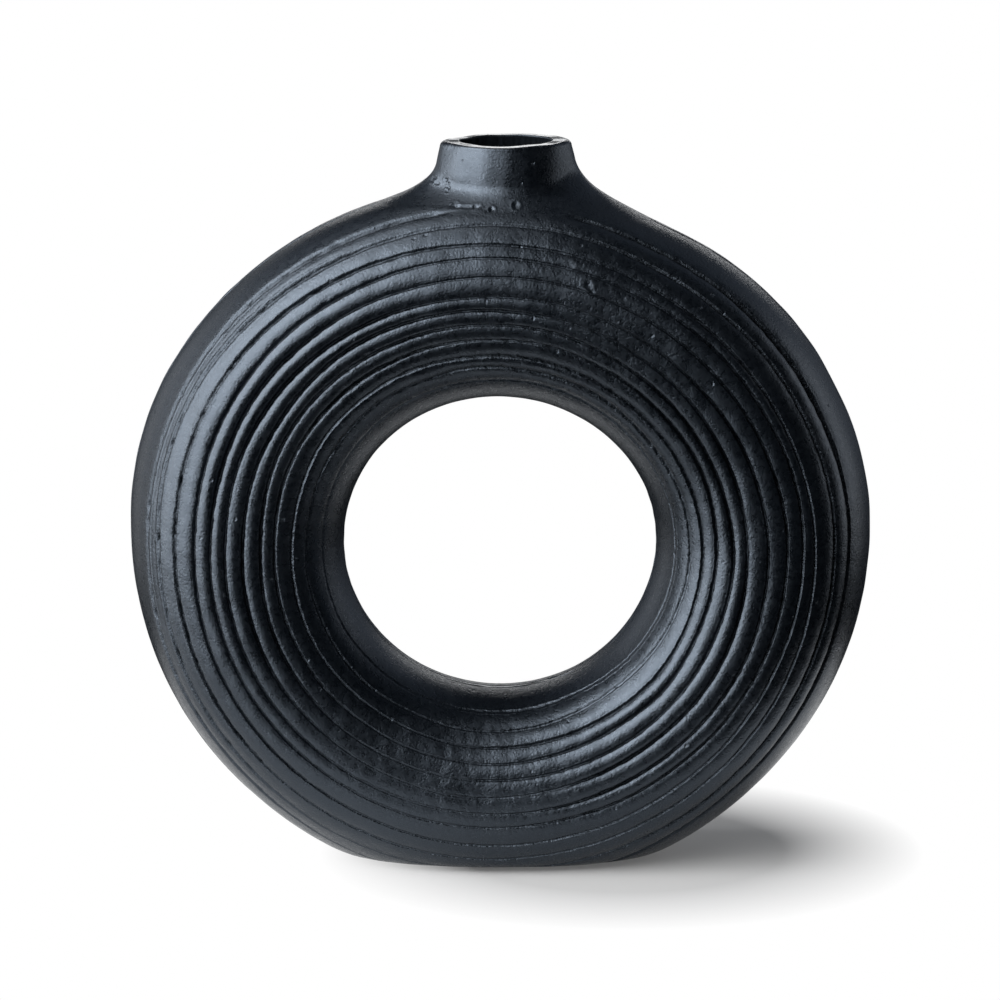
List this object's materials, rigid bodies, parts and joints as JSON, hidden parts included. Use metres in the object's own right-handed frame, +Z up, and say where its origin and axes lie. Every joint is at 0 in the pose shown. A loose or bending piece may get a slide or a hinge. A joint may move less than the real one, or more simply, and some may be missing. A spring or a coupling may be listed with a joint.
{
  "type": "ring vase",
  "caption": "Free-standing ring-shaped vase with an open centre, concentric grooves on both faces, a short flared neck at the top and a flat base, for stems and dried flowers.",
  "frame": {"origin": "on the floor under the middle of the vase, at the undersides of its feet", "axes": "+X to the right across the ring as seen from the front, +Y from the front face to the rear face, +Z up through the neck"},
  "size_m": [0.3, 0.0854, 0.2949],
  "materials": {
    "coated_casting": "satin",
    "foot_rubber": "matte"
  },
  "bodies": {
    "root": {"front_shell": "coated_casting", "rear_shell": "coated_casting", "outer_seam_weld": "coated_casting", "inner_seam_weld": "coated_casting", "neck_collar": "coated_casting", "neck_weld": "coated_casting", "foot_front_left": "foot_rubber", "foot_front_right": "foot_rubber", "foot_rear_left": "foot_rubber", "foot_rear_right": "foot_rubber"}
  },
  "joints": []
}
